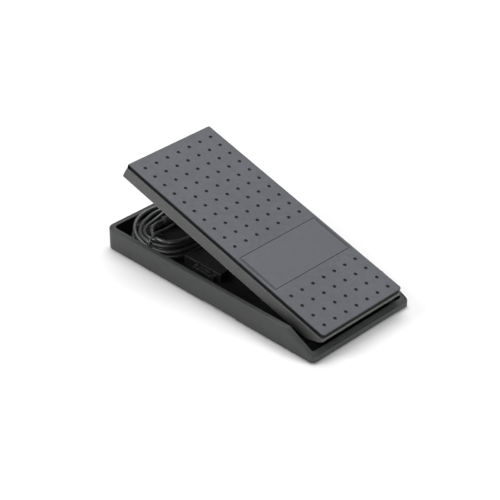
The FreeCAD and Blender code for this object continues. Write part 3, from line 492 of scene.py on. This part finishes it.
# ------------------------------------------------------------------ tubes and turned pieces
def sweep(name, pts, half_w, half_t, across, mats, sides=14, closed=False):
    """A strip of oval section along pts; across is the direction of its wide side."""
    V, F = [], []
    n = len(pts)
    for i, p in enumerate(pts):
        a = pts[i - 1] if (i > 0 or closed) else pts[i]
        b = pts[(i + 1) % n] if (i < n - 1 or closed) else pts[i]
        t = (b - a).normalized()
        w = (across - t * across.dot(t)).normalized()
        h = t.cross(w)
        k = 1.0
        if not closed:
            e = min(i, n - 1 - i)
            k = (0.35, 0.75, 0.95)[e] if e < 3 else 1.0
        for j in range(sides):
            a_ = 2 * math.pi * j / sides
            V.append(p + w * (half_w * k * math.cos(a_)) + h * (half_t * k * math.sin(a_)))
    for i in range(n if closed else n - 1):
        for j in range(sides):
            i2, j2 = (i + 1) % n, (j + 1) % sides
            F.append((i * sides + j, i * sides + j2, i2 * sides + j2, i2 * sides + j))
    if not closed:
        F.append(tuple(range(sides))[::-1])
        F.append(tuple((n - 1) * sides + j for j in range(sides)))
    o = mesh_obj(name, V, F, mats)
    return o


def turned(name, profile, origin, axis, mats, sides=40, face_mat=None):
    """A piece of revolution: profile of (distance along axis, radius) in mm, from origin in mm."""
    axis = Vector(axis).normalized()
    ref = Vector((0, 0, 1)) if abs(axis.z) < 0.9 else Vector((1, 0, 0))
    u = (ref - axis * ref.dot(axis)).normalized()
    v = axis.cross(u)
    V, F, MI = [], [], []
    for s, r in profile:
        for j in range(sides):
            a = 2 * math.pi * j / sides
            V.append((Vector(origin) + axis * s + (u * math.cos(a) + v * math.sin(a)) * r) * MM)
    for i in range(len(profile) - 1):
        for j in range(sides):
            j2 = (j + 1) % sides
            F.append((i * sides + j, i * sides + j2, (i + 1) * sides + j2, (i + 1) * sides + j))
            MI.append(face_mat(i) if face_mat else 0)
    F.append(tuple(range(sides))[::-1])
    MI.append(0)
    F.append(tuple((len(profile) - 1) * sides + j for j in range(sides)))
    MI.append(0)
    return mesh_obj(name, V, F, mats, MI)


# ------------------------------------------------------------------ the tie round the coil, drawn over the lead's last strand
TIE = [(-59.9, 86.3, 20.5), (-59.7, 86.6, 24.2), (-57.8, 87.2, 27.2), (-55.2, 87.6, 28.9), (-53.0, 87.8, 29.9), (-50.0, 88.0, 31.2), (-47.0, 88.1, 30.2), (-44.8, 88.3, 28.4), (-42.4, 88.6, 26.8), (-39.0, 89.0, 25.4), (-35.6, 89.4, 21.5), (-34.3, 89.5, 15.5), (-35.2, 89.3, 9.0), (-38.5, 88.8, 5.9), (-45.0, 88.0, 5.75), (-53.0, 87.2, 5.75), (-58.3, 86.6, 7.6), (-59.9, 86.3, 13.5)]


def closed_line(points, per=6):
    """A smooth closed line through the middle of a ring of points."""
    out = []
    n = len(points)
    P = [Vector(p) for p in points]
    for i in range(n):
        a, b, c = P[i - 1], P[i], P[(i + 1) % n]
        m0, m1 = (a + b) / 2, (b + c) / 2
        for j in range(per):
            t = j / per
            out.append(((1 - t) ** 2 * m0 + 2 * t * (1 - t) * b + t * t * m1) * MM)
    return out


def open_line(points, per=6):
    P = [Vector(p) for p in points]
    out = []
    for i in range(1, len(P) - 1):
        m0 = P[0] if i == 1 else (P[i - 1] + P[i]) / 2
        m1 = P[-1] if i == len(P) - 2 else (P[i] + P[i + 1]) / 2
        for j in range(per):
            t = j / per
            out.append(((1 - t) ** 2 * m0 + 2 * t * (1 - t) * P[i] + t * t * m1) * MM)
    out.append(P[-1] * MM)
    return out


tie = sweep("coil_tie_loop", closed_line(TIE), 0.00155, 0.00085, Vector((0.0, 1.0, 0.0)), (M_TIE,), closed=True)
tail = sweep("coil_tie_tail", open_line([(-52.0, 88.2, 30.8), (-49.0, 88.5, 31.8), (-43.5, 88.4, 31.4), (-36.0, 88.7, 30.2), (-28.0, 90.5, 29.0), (-20.0, 92.4, 28.0), (-15.0, 93.4, 26.6)]), 0.0015, 0.0009, Vector((0.1, 1.0, 0.25)), (M_TIE,))
for o in (tie, tail):
    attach(o, "base")
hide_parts("coil_tie")
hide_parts("coil_tie")

# ------------------------------------------------------------------ strain relief with flexing slots
gland = [(-3.3, 3.3), (-1.5, 3.3), (0.0, 3.3), (0.02, 4.0), (0.25, 4.2), (1.0, 4.2), (1.2, 4.05), (1.35, 3.75)]
for i in range(5):
    s = 2.0 + i * 2.2
    r = 3.75 - (s - 1.4) * 0.078
    gland += [(s, r), (s + 0.15, r - 0.45), (s + 0.75, r - 0.47), (s + 0.9, r - 0.03)]
gland += [(13.6, 2.75), (14.2, 2.55), (14.5, 2.3)]
gl = turned("ribbed_strain_relief", gland, (31.0, 58.2, 9.4), (0, 1, 0), (M_CORD,))
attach(gl, "base")
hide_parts("strain_relief")

# ------------------------------------------------------------------ floor, world and lights
def flat(name, size, z, mat):
    me = bpy.data.meshes.new(name)
    h = size / 2
    me.from_pydata([(-h, -h, z), (h, -h, z), (h, h, z), (-h, h, z)], [], [(0, 1, 2, 3)])
    me.materials.append(mat)
    return link(bpy.data.objects.new(name, me))


M_FLOOR = surface("floor_paper", (0.86, 0.86, 0.86), (0.88, 0.88, 0.88), rough=(0.85, 0.95), grain=(900.0, 0.00001), blot=3.0, spec=0.1)
floor = flat("floor", 24.0, -0.0002, M_FLOOR)

world = bpy.data.worlds.new("studio")
scene.world = world
world.use_nodes = True
wnt = world.node_tree
bg = wnt.nodes["Background"]
wtc = wnt.nodes.new("ShaderNodeTexCoord")
wsep = wnt.nodes.new("ShaderNodeSeparateXYZ")
wnt.links.new(wtc.outputs["Generated"], wsep.inputs["Vector"])
band = wnt.nodes.new("ShaderNodeMapRange")
band.inputs["From Min"].default_value = 0.95
band.inputs["From Max"].default_value = 0.30
band.inputs["To Min"].default_value = 0.34
band.inputs["To Max"].default_value = 0.17
wnt.links.new(wsep.outputs["Z"], band.inputs["Value"])
bg.inputs["Color"].default_value = (1.0, 1.0, 1.0, 1.0)
wnt.links.new(band.outputs["Result"], bg.inputs["Strength"])


def area(name, loc, target, size, power, size_y=None):
    d = bpy.data.lights.new(name, "AREA")
    d.shape = "RECTANGLE"
    d.size = size
    d.size_y = size_y or size
    d.energy = power
    o = link(bpy.data.objects.new(name, d))
    o.location = loc
    o.rotation_euler = (Vector(target) - Vector(loc)).to_track_quat("-Z", "Y").to_euler()
    return o


area("key", (0.46, 0.44, 1.74), (0, 0, 0.03), 1.4, 28.5)
area("left_strip", (-1.30, 0.95, 1.25), (-0.02, 0.09, 0.02), 0.62, 14.0, 0.9)
area("front_strip", (-1.40, -0.75, 1.35), (-0.02, 0.07, 0.02), 0.6, 4.5)
area("heel_strip", (0.45, -1.60, 0.75), (0.0, -0.14, 0.03), 0.6, 9.0)

scene.view_settings.view_transform = "Standard"
scene.view_settings.look = "None"

bpy.context.view_layer.update()
